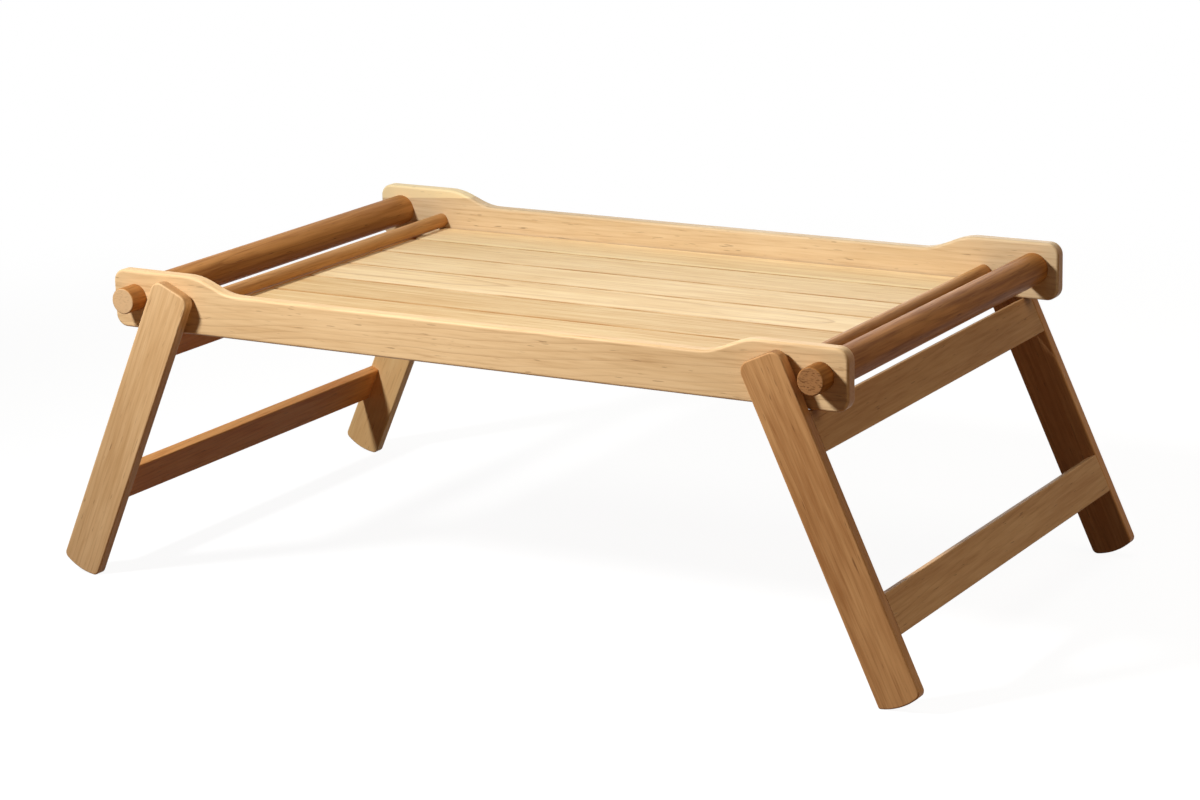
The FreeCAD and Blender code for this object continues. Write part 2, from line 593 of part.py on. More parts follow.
def write(pieces):
    os.makedirs("parts", exist_ok=True)
    for piece in pieces:
        piece.Shape.exportStep(os.path.join("parts", piece.Label + ".step"))
        box = piece.Shape.BoundBox
        print(f"{piece.Label}: {len(piece.Shape.Solids)} solid(s), {piece.Shape.Volume:.1f} mm3, "
              f"{box.XLength:.1f} x {box.YLength:.1f} x {box.ZLength:.1f} mm")


def main():
    pieces = build_table()
    check(pieces)
    write(pieces)


main()
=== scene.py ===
import logging
import math
from dataclasses import dataclass, field, replace
from enum import Enum
from typing import ClassVar

import bmesh
import bpy
import numpy as np
from mathutils import Matrix, Vector


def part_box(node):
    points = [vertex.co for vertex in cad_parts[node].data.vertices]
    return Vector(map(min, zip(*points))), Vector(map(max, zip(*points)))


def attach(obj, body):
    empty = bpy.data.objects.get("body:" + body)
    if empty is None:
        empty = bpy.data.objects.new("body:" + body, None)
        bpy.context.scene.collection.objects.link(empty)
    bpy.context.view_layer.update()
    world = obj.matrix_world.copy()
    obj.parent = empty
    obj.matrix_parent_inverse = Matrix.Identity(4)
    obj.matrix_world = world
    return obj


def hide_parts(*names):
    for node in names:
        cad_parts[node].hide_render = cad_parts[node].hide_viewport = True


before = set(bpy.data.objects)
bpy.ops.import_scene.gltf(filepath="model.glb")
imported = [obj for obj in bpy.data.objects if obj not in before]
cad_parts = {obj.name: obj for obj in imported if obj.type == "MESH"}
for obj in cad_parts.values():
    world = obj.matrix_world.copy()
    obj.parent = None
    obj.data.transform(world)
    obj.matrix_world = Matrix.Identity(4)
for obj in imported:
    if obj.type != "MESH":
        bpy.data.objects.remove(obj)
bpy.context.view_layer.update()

# Looks of a slatted wooden bed tray on two folding leg frames. Lengths are in metres, in the frame of
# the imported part: +X along the tray to the right, +Y to the back, +Z up, the floor at z = 0.

log = logging.getLogger("bed_tray")

Colour = tuple[float, float, float, float]
Triple = tuple[float, float, float]
Pair = tuple[float, float]

MM = 0.001
MERGE_DISTANCE = 0.5e-6
RIGHT_ANGLE = math.pi / 2
WHITE: Colour = (1.0, 1.0, 1.0, 1.0)

# How far the legs lean from the vertical, and where the axis of a leg frame lies.
SPLAY = math.radians(24.6)
PIVOT_X = 0.257
PIVOT_Z = 0.22596


def srgb(red: int, green: int, blue: int) -> Colour:
    """Turn a display colour into the linear one that a shader takes, by the sRGB curve.

    Args:
        red: red, 0 to 255.
        green: green, 0 to 255.
        blue: blue, 0 to 255.

    Returns:
        The linear colour, opaque.
    """
    parts = [c / 255 for c in (red, green, blue)]
    linear = [p / 12.92 if p <= 0.04045 else ((p + 0.055) / 1.055) ** 2.4 for p in parts]
    return (linear[0], linear[1], linear[2], 1.0)


class Side(Enum):
    """Left or right end of the tray, with its sign along X."""

    LEFT = -1
    RIGHT = 1


class End(Enum):
    """Front or back of the tray, with its sign along Y."""

    FRONT = -1
    BACK = 1


class Cut(Enum):
    """How a board lies in the log: the pith's place across and below the board's middle, in metres."""

    CROWN = (0.004, -0.052)
    RIFT = (0.085, -0.070)
    QUARTER = (0.160, -0.012)


@dataclass(frozen=True)
class Grain:
    """One noise of a finish: its turns per metre along, across and through a piece, and its finer layers.

    The shift is added to the piece's seed, and keeps the noises of one piece apart. As a mask, the noise
    rises from 0 at the level low to 1 at the level high.
    """

    pace: Triple
    shift: float
    detail: float = 2.0
    low: float = 0.0
    high: float = 1.0

    def paced(self, along: float) -> "Grain":
        """The same noise with another pace along the piece."""
        return replace(self, pace=(along, *self.pace[1:]))


class Value:
    """An output socket whose arithmetic adds Math nodes to its graph."""

    def __init__(self, graph: "ShaderGraph", socket: bpy.types.NodeSocket) -> None:
        """Wrap one socket of a graph."""
        self.graph = graph
        self.socket = socket

    def __add__(self, other: "Value | float") -> "Value":
        """Sum with another value."""
        return self.graph.math("ADD", self, other)

    def __sub__(self, other: "Value | float") -> "Value":
        """Difference from another value."""
        return self.graph.math("SUBTRACT", self, other)

    def __rsub__(self, other: float) -> "Value":
        """Difference of a number and this value."""
        return self.graph.math("SUBTRACT", other, self)

    def __mul__(self, other: "Value | float") -> "Value":
        """Product with another value."""
        return self.graph.math("MULTIPLY", self, other)

    def __truediv__(self, other: "Value | float") -> "Value":
        """Quotient by another value."""
        return self.graph.math("DIVIDE", self, other)

    def __rtruediv__(self, other: float) -> "Value":
        """Quotient of a number by this value."""
        return self.graph.math("DIVIDE", other, self)

    __radd__ = __add__
    __rmul__ = __mul__


Place = tuple[Value, Value, Value]


class ShaderGraph:
    """A node tree, built from expressions."""

    def __init__(self, owner: bpy.types.ID) -> None:
        """Start an empty tree.

        Args:
            owner: the new material or world that the tree belongs to.
        """
        owner.use_nodes = True
        self.owner = owner
        self.tree = owner.node_tree
        self.tree.nodes.clear()

    def node(self, kind: str, settings: dict | None = None, inputs: dict | None = None) -> bpy.types.Node:
        """Add a node.

        Args:
            kind: the node's type.
            settings: its properties, set before its sockets, or the stops of a ramp.
            inputs: numbers, colours or values for its sockets, by name or place.

        Returns:
            The node.
        """
        made = self.tree.nodes.new(kind)
        for key, value in (settings or {}).items():
            if key == "stops":
                self._set_stops(made.color_ramp, value)
            else:
                setattr(made, key, value)
        for key, value in (inputs or {}).items():
            if isinstance(value, Value):
                self.tree.links.new(value.socket, made.inputs[key])
            else:
                made.inputs[key].default_value = value
        return made

    @staticmethod
    def _set_stops(ramp: bpy.types.ColorRamp, stops: tuple[Pair, ...]) -> None:
        """Give a new ramp its stops.

        Args:
            ramp: the ramp, with the two stops that a new one has.
            stops: pairs of place and grey level.
        """
        while len(ramp.elements) < len(stops):
            ramp.elements.new(1.0)
        for element, (place, level) in zip(ramp.elements, stops):
            element.position = place
            element.color = (level, level, level, 1.0)

    def out(self, made: bpy.types.Node, key: str | int = 0) -> Value:
        """Wrap an output of a node."""
        return Value(self, made.outputs[key])

    def split(self, vector: Value) -> Place:
        """The three parts of a vector."""
        made = self.node("ShaderNodeSeparateXYZ", None, {0: vector})
        return self.out(made, 0), self.out(made, 1), self.out(made, 2)

    def math(self, operation: str, *values: "Value | float") -> Value:
        """Add a Math node for an operation on values."""
        return self.out(self.node("ShaderNodeMath", {"operation": operation}, dict(enumerate(values))))

    def mix(self, factor: Value, low: Value | Colour, high: Value | Colour) -> Value:
        """Blend two colours, by the share of the second."""
        settings = {"data_type": "RGBA", "blend_type": "MIX", "clamp_factor": True}
        return self.out(self.node("ShaderNodeMix", settings, {0: factor, 6: low, 7: high}), 2)

    def mix_shaders(self, factor: Value, low: Value, high: Value) -> Value:
        """Blend two shaders, by the share of the second."""
        return self.out(self.node("ShaderNodeMixShader", None, {0: factor, 1: low, 2: high}))

    def step(self, value: Value, low: float, high: float) -> Value:
        """Rise smoothly from 0 at low to 1 at high."""
        return self.out(self.node("ShaderNodeMapRange", {"interpolation_type": "SMOOTHSTEP"},
                                  {"Value": value, "From Min": low, "From Max": high}))

    def ramp(self, value: Value, stops: tuple[Pair, ...]) -> Value:
        """Map a value through grey stops, with a Math node that makes the ramp's colour a number."""
        made = self.node("ShaderNodeValToRGB", {"stops": stops}, {0: value})
        return self.math("MULTIPLY", self.out(made), 1.0)

    def noise(self, place: Place, grain: Grain, seed: float = 0.0) -> Value:
        """Noise between 0 and 1, stretched along the grain.

        Args:
            place: distances along, across and through the piece.
            grain: what the noise is like.
            seed: the piece's seed.

        Returns:
            The noise.
        """
        scaled = self.node("ShaderNodeCombineXYZ", None, {i: place[i] * grain.pace[i] for i in range(3)})
        made = self.node("ShaderNodeTexNoise", {"noise_dimensions": "4D"},
                         {"Vector": self.out(scaled), "W": seed + grain.shift, "Scale": 1.0,
                          "Detail": grain.detail})
        return self.out(made)

    def mask(self, place: Place, grain: Grain, seed: float) -> Value:
        """The noise as a mask, 0 up to the grain's low level and 1 from its high one."""
        return self.step(self.noise(place, grain, seed), grain.low, grain.high)

    def seen(self) -> Value:
        """Tell the rays of the camera, of gloss and of clear materials, 1, from all others, 0.

        Returns:
            The mask.
        """
        path = self.node("ShaderNodeLightPath")
        eye = self.math("MAXIMUM", self.out(path, "Is Camera Ray"), self.out(path, "Is Glossy Ray"))
        return self.math("MAXIMUM", eye, self.out(path, "Is Transmission Ray"))

    def surface(self, inputs: dict, height: Value, relief: float, strength: float) -> bpy.types.Material:
        """Close the material with one Principled shader.

        Args:
            inputs: numbers, colours or values for the shader's sockets.
            height: height of the surface, 0 to 1.
            relief: depth in metres of a full step of that height.
            strength: share of the bump that shows.

        Returns:
            The material.
        """
        raised = self.node("ShaderNodeBump", None,
                           {"Height": height, "Distance": relief, "Strength": strength})
        shader = self.node("ShaderNodeBsdfPrincipled", None, {**inputs, "Normal": self.out(raised)})
        self.node("ShaderNodeOutputMaterial", None, {"Surface": self.out(shader)})
        return self.owner


@dataclass(frozen=True)
class Board:
    """Where a board's own axes lie: u along the grain, v across its face, w through it."""

    centre: Triple
    turn: Triple
    grain_axis: Triple
    half: Triple | None = None

    @staticmethod
    def along_x(centre: Triple, half: Triple | None = None, on_edge: bool = False) -> "Board":
        """A board along the tray, flat or on its edge."""
        return Board(centre, (RIGHT_ANGLE if on_edge else 0.0, 0.0, 0.0), (1.0, 0.0, 0.0), half)

    @staticmethod
    def along_y(centre: Triple, half: Triple | None = None) -> "Board":
        """A board or rod across the tray, lying flat."""
        return Board(centre, (0.0, 0.0, RIGHT_ANGLE), (0.0, 1.0, 0.0), half)

    @staticmethod
    def stretcher(side: Side, centre: Triple, half: Triple) -> "Board":
        """A board across the tray whose width lies along the splayed legs."""
        return Board(centre, (RIGHT_ANGLE - side.value * SPLAY, 0.0, RIGHT_ANGLE), (0.0, 1.0, 0.0), half)

    @staticmethod
    def leg(side: Side, centre: Triple, half: Triple) -> "Board":
        """A board down the splay of the legs, its broad faces to front and back."""
        down = (side.value * math.sin(SPLAY), 0.0, -math.cos(SPLAY))
        return Board(centre, (RIGHT_ANGLE, RIGHT_ANGLE - side.value * SPLAY, 0.0), down, half)


@dataclass(frozen=True)
class WoodTone:
    """Colours of one oiled wood: its ground from pale to deep, its ring lines, flecks and end grain."""

    pale: Colour
    deep: Colour
    line: Colour
    fleck: Colour
    end: Colour

    @staticmethod
    def of(*colours: tuple[int, int, int]) -> "WoodTone":
        """A tone from its five display colours, in the order of the fields."""
        return WoodTone(*(srgb(*colour) for colour in colours))


HONEY = WoodTone.of((240, 206, 157), (218, 180, 130), (152, 104, 60), (104, 62, 32), (168, 118, 74))
STRAW = WoodTone.of((233, 207, 167), (214, 184, 140), (166, 120, 74), (112, 74, 44), (168, 122, 78))
CREAM = WoodTone.of((233, 205, 155), (212, 174, 120), (168, 118, 62), (128, 80, 42), (200, 154, 102))
IVORY = WoodTone.of((250, 225, 179), (232, 199, 147), (172, 122, 66), (128, 80, 42), (200, 154, 102))
TAN = WoodTone.of((236, 197, 146), (213, 170, 118), (160, 112, 66), (112, 70, 38), (176, 128, 80))
AMBER = WoodTone.of((252, 215, 155), (243, 198, 136), (150, 96, 50), (104, 60, 30), (176, 122, 70))
BROWN = WoodTone.of((208, 158, 104), (168, 116, 68), (116, 74, 42), (78, 44, 24), (142, 96, 58))
UMBER = WoodTone.of((214, 162, 108), (180, 122, 74), (110, 60, 34), (72, 38, 22), (142, 90, 54))
DRIFTWOOD = WoodTone.of((216, 176, 128), (190, 145, 98), (142, 98, 60), (92, 58, 34), (150, 106, 68))
RUSSET = WoodTone.of((246, 182, 112), (226, 150, 82), (132, 74, 26), (80, 42, 20), (150, 96, 50))
CHESTNUT = WoodTone.of((200, 143, 82), (162, 106, 54), (100, 58, 24), (70, 40, 20), (232, 196, 150))
HAZEL = WoodTone.of((208, 156, 98), (172, 120, 68), (108, 66, 30), (70, 40, 20), (200, 154, 102))
WALNUT = WoodTone.of((186, 128, 68), (130, 80, 34), (80, 46, 19), (62, 34, 18), (174, 126, 82))

RING_BEND = Grain((4.5, 11.0, 11.0), 0.0)
RING_QUIVER = Grain((26.0, 60.0, 60.0), 1.3, 1.0)
RING_SHOWN = Grain((3.5, 16.0, 16.0), 21.0, 2.0, 0.30, 0.58)
STREAK = Grain((9.0, 230.0, 230.0), 3.1, 3.0)
FIBRE = Grain((34.0, 620.0, 620.0), 5.7, 3.0, 0.52, 0.78)
PATCH = Grain((6.0, 38.0, 38.0), 8.3, 3.0)
FLECK = Grain((62.0, 760.0, 760.0), 11.9, 1.0, 0.68, 0.76)
STRIP_EDGE = Grain((9.0, 20.0, 20.0), 17.0)
# Spots that break up the painted shade beside the gaps between slats.
SEAM_SHADE_SPOTS = Grain((14.0, 3.0, 3.0), 27.0, 3.0, 0.36, 0.60)
END_PORES = Grain((40.0, 420.0, 1500.0), 25.0, 2.0, 0.50, 0.66)
METAL_MOTTLE = Grain((260.0, 260.0, 260.0), 2.0, 3.0, 0.45, 0.75)
METAL_SCRATCH = Grain((3000.0, 400.0, 3000.0), 4.0)


@dataclass(frozen=True)
class PaleStrip:
    """A paler strip on one side of a sloping line across a board."""

    start: float
    full: float
    rise: float = 0.0


@dataclass(frozen=True)
class Wood:
    """One board's figure: its tone, its place in the log and how strongly each mark shows."""

    tone: WoodTone
    cut: Cut
    seed: float
    ring_spacing: float = 3.4 * MM
    rings: float = 0.45
    drift: float = 0.02
    wobble: float = 5.0 * MM
    streaks: float = 0.5
    patches: float = 0.6
    flecks: float = 0.35
    gloss: float = 0.44
    sheen: float = 0.14
    # Strength of the pale arrises: edge wear, and partly a painted highlight.
    wear_and_highlight: float = 0.35
    # Strength of the painted shade beside the long edges, where the gaps between boards are.
    seam_shade: float = 0.0
    pits: float = 0.3
    rim: float = 0.1
    run: float = 9.0
    pale_strip: PaleStrip | None = None

    # Rings: darkness through one year, share of the quick bend, and least and further strength of a ring
    # by its year and by its place on the board.
    RING_SHAPE: ClassVar[tuple[Pair, ...]] = ((0.0, 0.0), (0.58, 0.06), (0.86, 0.38), (0.95, 1.0), (1.0, 0.0))
    QUIVER_SHARE: ClassVar[float] = 0.16
    YEAR_SEED: ClassVar[float] = 7.0
    RING_STRENGTH: ClassVar[Pair] = (0.30, 0.70)
    # Ground: how far each mark swings it from pale to deep, and the strength of the fibres as fine lines.
    STREAK_SWING: ClassVar[float] = 2.6
    PATCH_SWING: ClassVar[float] = 2.4
    FIBRE_SWING: ClassVar[float] = 0.9
    GROUND_SPAN: ClassVar[Pair] = (-0.1, 1.1)
    FIBRE_LINES: ClassVar[float] = 0.20
    # Pale strip: its colour and strength, and how far its edge wanders.
    STRIP_COLOUR: ClassVar[Colour] = srgb(253, 230, 180)
    STRIP_STRENGTH: ClassVar[float] = 0.9
    STRIP_WANDER: ClassVar[float] = 2.0 * MM
    # Edges: how far inward the painted shade of a seam starts and is full, its least and further strength,
    # and how far inward the wear and painted highlight of an arris start to fade and are gone.
    SEAM_SHADE_SPAN: ClassVar[Pair] = (1.5 * MM, 0.7 * MM)
    SEAM_SHADE_STRENGTH: ClassVar[Pair] = (0.55, 0.45)
    ARRIS_WEAR_AND_HIGHLIGHT_SPAN: ClassVar[Pair] = (0.2 * MM, 2.4 * MM)
    # End grain and the rim round it, by how squarely a face cuts the grain.
    END_SPAN: ClassVar[Pair] = (0.55, 0.95)
    END_STRENGTH: ClassVar[float] = 0.8
    RIM_RISE: ClassVar[Pair] = (0.25, 0.6)
    RIM_FALL: ClassVar[Pair] = (0.75, 0.98)
    # Gloss and relief.
    FIBRE_ROUGH: ClassVar[float] = 0.16
    RING_ROUGH: ClassVar[float] = 0.05
    FIBRE_HEIGHT: ClassVar[float] = 0.55
    FLECK_DEPTH: ClassVar[float] = 0.7
    RING_DEPTH: ClassVar[float] = 0.12
    RELIEF: ClassVar[float] = 0.16 * MM
    RELIEF_STRENGTH: ClassVar[float] = 0.55

    def material(self, name: str, board: Board) -> bpy.types.Material:
        """Make the board's material.

        The figure is that of a log: growth rings are circles round a pith outside the board, so that
        distance r = sqrt(v^2 + w^2) from the pith, bent by slow noise and drifting along the grain,
        divided by the ring spacing, gives each ring by its fractional part.

        Args:
            name: the material's name.
            board: the board's own axes.

        Returns:
            The material.
        """
        graph = ShaderGraph(bpy.data.materials.new(name))
        source = graph.node("ShaderNodeTexCoord")
        local = graph.node("ShaderNodeMapping", {"vector_type": "TEXTURE"},
                           {"Vector": graph.out(source, "Object"), "Location": board.centre,
                            "Rotation": board.turn})
        place = graph.split(graph.out(local))
        rings = self._rings(graph, place)
        streak = graph.noise(place, STREAK.paced(self.run), self.seed)
        fibre = graph.noise(place, FIBRE, self.seed)
        patch = graph.noise(place, PATCH, self.seed)
        fleck = graph.mask(place, FLECK, self.seed)
        depth = (0.5 + (streak - 0.5) * (self.STREAK_SWING * self.streaks)
                 + (patch - 0.5) * (self.PATCH_SWING * self.patches) + (fibre - 0.5) * self.FIBRE_SWING)
        colour = graph.mix(graph.step(depth, *self.GROUND_SPAN), self.tone.pale, self.tone.deep)
        colour = graph.mix(rings * self.rings, colour, self.tone.line)
        lines = graph.step(fibre, FIBRE.low, FIBRE.high)
        colour = graph.mix(lines * self.FIBRE_LINES, colour, self.tone.line)
        if self.pale_strip is not None:
            wander = (graph.noise(place, STRIP_EDGE, self.seed) - 0.5) * self.STRIP_WANDER
            edge = place[1] - place[0] * self.pale_strip.rise + wander
            strip = graph.step(edge, self.pale_strip.start, self.pale_strip.full)
            colour = graph.mix(strip * self.STRIP_STRENGTH, colour, self.STRIP_COLOUR)
        colour = graph.mix(fleck * self.flecks, colour, self.tone.fleck)
        colour = self._ends(graph, source, place, board, colour)
        if board.half is not None:
            # Arrises paled towards the pale tone: edge wear, and partly a painted highlight.
            colour = graph.mix(self._arris_wear_and_highlight(graph, place, board.half) * self.wear_and_highlight, colour, self.tone.pale)
            # Painted shade of the gaps beside the long edges, in the ring lines' colour.
            colour = graph.mix(self._painted_seam_shade(graph, place, board.half[1]) * self.seam_shade, colour, self.tone.line)
        rough = self.gloss + (fibre - 0.5) * self.FIBRE_ROUGH + rings * self.RING_ROUGH
        height = fibre * self.FIBRE_HEIGHT - fleck * self.FLECK_DEPTH - rings * self.RING_DEPTH
        return graph.surface({"Base Color": colour, "Roughness": rough, "Specular IOR Level": self.sheen},
                             height, self.RELIEF, self.RELIEF_STRENGTH)

    def _rings(self, graph: ShaderGraph, place: Place) -> Value:
        """Draw the growth rings.

        Args:
            graph: the material's graph.
            place: distances from the board's middle.

        Returns:
            Their darkness, 0 to 1.
        """
        across, below = self.cut.value
        slow = graph.noise(place, RING_BEND, self.seed) - 0.5
        quick = graph.noise(place, RING_QUIVER, self.seed) - 0.5
        v = place[1] - across
        w = place[2] - below
        radius = graph.math("SQRT", v * v + w * w)
        turns = (radius + place[0] * self.drift + slow * (2.0 * self.wobble)
                 + quick * (self.QUIVER_SHARE * self.wobble)) / self.ring_spacing
        year = graph.node("ShaderNodeTexWhiteNoise", {"noise_dimensions": "1D"},
                          {"W": graph.math("FLOOR", turns) + self.seed * self.YEAR_SEED})
        shape = graph.ramp(graph.math("FRACT", turns), self.RING_SHAPE)
        shown = graph.mask(place, RING_SHOWN, self.seed)
        least, further = self.RING_STRENGTH
        return shape * (least + graph.out(year) * further) * (least + shown * further)

    def _ends(self, graph: ShaderGraph, source: bpy.types.Node, place: Place, board: Board,
              colour: Value) -> Value:
        """Give the faces that cut across the grain their own colour, with open pores and a worn rim.

        Args:
            graph: the material's graph.
            source: its Texture Coordinate node.
            place: distances from the board's middle.
            board: the board's own axes.
            colour: the colour of the other faces.

        Returns:
            The colour of all faces.
        """
        facing = graph.node("ShaderNodeVectorMath", {"operation": "DOT_PRODUCT"},
                            {0: graph.out(source, "Normal"), 1: board.grain_axis})
        along = graph.math("ABSOLUTE", graph.out(facing, "Value"))
        pores = graph.mask(place, END_PORES, self.seed)
        cut = graph.mix(pores * self.pits, self.tone.end, self.tone.fleck)
        colour = graph.mix(graph.step(along, *self.END_SPAN) * self.END_STRENGTH, colour, cut)
        rim = graph.step(along, *self.RIM_RISE) * (1 - graph.step(along, *self.RIM_FALL))
        return graph.mix(rim * self.rim, colour, self.tone.pale)

    def _painted_seam_shade(self, graph: ShaderGraph, place: Place, half_width: float) -> Value:
        """Darken a board unevenly with painted shade beside its long edges, where the gap to the next board
        starts.

        Args:
            graph: the material's graph.
            place: distances from the board's middle.
            half_width: half of the board's width.

        Returns:
            The painted shade, 0 to 1.
        """
        start, full = self.SEAM_SHADE_SPAN
        side = graph.step(graph.math("ABSOLUTE", place[1]), half_width - start, half_width - full)
        least, further = self.SEAM_SHADE_STRENGTH
        return side * (least + graph.mask(place, SEAM_SHADE_SPOTS, self.seed) * further)

    def _arris_wear_and_highlight(self, graph: ShaderGraph, place: Place, half: Triple) -> Value:
        """Nearness to the board's edges, where wear and a painted highlight pale the wood: 1 on an arris,
        fading to 0 inward.

        The distance to the nearest edge is the second smallest of the distances to the three pairs of
        faces.

        Args:
            graph: the material's graph.
            place: distances from the board's middle.
            half: half sizes of the board.

        Returns:
            The nearness.
        """
        gaps = [half[i] - graph.math("ABSOLUTE", place[i]) for i in range(3)]
        low = graph.math("MINIMUM", gaps[0], gaps[1])
        high = graph.math("MAXIMUM", gaps[0], gaps[1])
        second = graph.math("MAXIMUM", low, graph.math("MINIMUM", high, gaps[2]))
        return 1 - graph.step(second, *self.ARRIS_WEAR_AND_HIGHLIGHT_SPAN)


@dataclass(frozen=True)
class Metal:
    """A small turned or rolled metal piece with fine marks."""

    colour: Colour
    dull: Colour
    gloss: float
    scratch_rough: float = 0.2
    mottle_rough: float = 0.1
    relief: float = 0.02 * MM
    relief_strength: float = 0.4

    def material(self, name: str) -> bpy.types.Material:
        """Make the metal's material: mottled, with fine scratches in its roughness.

        Args:
            name: the material's name.

        Returns:
            The material.
        """
        graph = ShaderGraph(bpy.data.materials.new(name))
        place = graph.split(graph.out(graph.node("ShaderNodeTexCoord"), "Object"))
        mottle = graph.noise(place, METAL_MOTTLE)
        scratch = graph.noise(place, METAL_SCRATCH)
        colour = graph.mix(graph.step(mottle, METAL_MOTTLE.low, METAL_MOTTLE.high), self.colour, self.dull)
        rough = self.gloss + (scratch - 0.5) * self.scratch_rough + (mottle - 0.5) * self.mottle_rough
        return graph.surface({"Base Color": colour, "Roughness": rough, "Metallic": 1.0},
                             scratch, self.relief, self.relief_strength)


BRASS = Metal(srgb(206, 164, 88), srgb(150, 108, 54), 0.36)
STEEL = Metal(srgb(196, 192, 186), srgb(150, 146, 140), 0.34)


def dress(node: str, material: bpy.types.Material) -> None:
    """Put a material on a node of the part and report it.

    Args:
        node: the node's name.
        material: the material for all of it.
    """
    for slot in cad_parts[node].material_slots:
        slot.material = material
    log.info("dressed %s with %s", node, material.name)


def middle(node: str) -> tuple[Triple, Triple]:
    """Find where a node is at rest.

    Args:
        node: the node's name.

    Returns:
        Its centre and its half sizes, along X, Y and Z.
    """
    low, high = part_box(node)
    return tuple((low + high) / 2), tuple((high - low) / 2)


@dataclass
class SideRails:
    """The two boards on edge with raised ends."""

    figure: dict[End, Wood] = field(default_factory=lambda: {
        End.FRONT: Wood(HONEY, Cut.RIFT, 3.0, ring_spacing=4.1 * MM, rings=0.62, drift=0.045,
                        wobble=11.0 * MM, streaks=0.35, patches=0.55, flecks=0.45, gloss=0.46, run=12.0),
        # The back rail is paler beyond a straight, slightly sloping line.
        End.BACK: Wood(STRAW, Cut.RIFT, 14.0, ring_spacing=3.4 * MM, rings=0.42, drift=0.016, wobble=4.0 * MM,
                       streaks=0.35, patches=0.45, flecks=0.50, gloss=0.45, run=12.0,
                       pale_strip=PaleStrip(33.0 * MM, 33.8 * MM, 0.07))})

    def build(self) -> None:
        """Dress both rails."""
        for end, wood in self.figure.items():
            node = f"side_rail_{end.name.lower()}"
            centre, _ = middle(node)
            dress(node, wood.material(f"wood_{node}", Board.along_x(centre, on_edge=True)))


@dataclass
class SlatBed:
    """The seven slats and the three battens under them; spacings and least wobble are in millimetres."""

    count: int = 7
    tones: tuple[WoodTone, ...] = (CREAM, CREAM, CREAM, IVORY, IVORY, IVORY, IVORY)
    cuts: tuple[Cut, ...] = (Cut.CROWN, Cut.RIFT, Cut.RIFT, Cut.CROWN, Cut.QUARTER, Cut.RIFT, Cut.QUARTER)
    spacings: tuple[float, ...] = (3.4, 2.6, 3.0, 3.6, 2.4, 2.9, 2.6)
    strengths: tuple[float, ...] = (0.66, 0.50, 0.54, 0.60, 0.44, 0.52, 0.42)
    # Per slat, how strongly its arrises pale: edge wear, and partly a painted highlight.
    worn_and_highlit: tuple[float, ...] = (0.10, 0.25, 0.15, 0.45, 0.10, 0.55, 0.30)
    pale_strip: PaleStrip = PaleStrip(-18.5 * MM, -20.5 * MM)
    slat_seed: float = 21.0
    slat_seed_step: float = 6.0
    least_drift: float = 0.012
    drift_step: float = 0.004
    least_wobble: float = 3.0
    batten_seed: float = 70.0
    batten_seed_step: float = 5.0

    def build(self) -> None:
        """Dress every slat with a figure of its own, then the battens."""
        for i in range(self.count):
            node = f"slat_{i + 1}"
            centre, half = middle(node)
            # The last slat has a pale sapwood strip along one side.
            edge = self.pale_strip if i == self.count - 1 else None
            # Each slat has painted shade beside its long edges, where the gaps between slats are.
            wood = Wood(self.tones[i], self.cuts[i], self.slat_seed + self.slat_seed_step * i,
                        ring_spacing=self.spacings[i] * MM, rings=self.strengths[i],
                        drift=self.least_drift + self.drift_step * (i % 3),
                        wobble=(self.least_wobble + i % 4) * MM, streaks=0.8, patches=0.5, flecks=0.30,
                        gloss=0.50, sheen=0.10, wear_and_highlight=self.worn_and_highlit[i], seam_shade=0.85, pale_strip=edge)
            dress(node, wood.material(f"wood_{node}", Board.along_x(centre, half)))
        for i, where in enumerate(("left", "middle", "right")):
            node = f"batten_{where}"
            centre, (across, along, thick) = middle(node)
            wood = Wood(HONEY, Cut.RIFT, self.batten_seed + self.batten_seed_step * i, rings=0.4)
            dress(node, wood.material(f"wood_{node}", Board.along_y(centre, (along, across, thick))))


@dataclass
class EndBars:
    """The round bars to carry the tray by, and the thin rods that the legs turn on."""

    tones: dict[Side, WoodTone] = field(default_factory=lambda: {Side.LEFT: CHESTNUT, Side.RIGHT: WALNUT})
    pits: dict[Side, float] = field(default_factory=lambda: {Side.LEFT: 0.15, Side.RIGHT: 0.8})
    bar_seed: float = 90.0
    rod_seed: float = 120.0
    seed_step: float = 4.0

    def build(self) -> None:
        """Dress bars, rods and the spacer washers on the rods."""
        brass = BRASS.material("washer_brass_satin")
        for side, tone in self.tones.items():
            word = side.name.lower()
            bar = Wood(tone, Cut.RIFT, self.bar_seed + side.value * self.seed_step, ring_spacing=2.6 * MM,
                       rings=0.35, drift=0.012, wobble=2.0 * MM, streaks=0.65, flecks=0.5, gloss=0.42,
                       sheen=0.04, pits=self.pits[side], rim=0.4)
            rod = Wood(HAZEL, Cut.RIFT, self.rod_seed + side.value * self.seed_step, ring_spacing=2.4 * MM,
                       rings=0.30, drift=0.012, wobble=2.0 * MM, streaks=0.6, flecks=0.4, gloss=0.44,
                       sheen=0.08)
            for node, wood in ((f"end_bar_{word}", bar), (f"pivot_rod_{word}", rod)):
                centre, _ = middle(node)
                dress(node, wood.material(f"wood_{node}", Board.along_y(centre)))
            for end in End:
                dress(f"pivot_washer_{word}_{end.name.lower()}", brass)


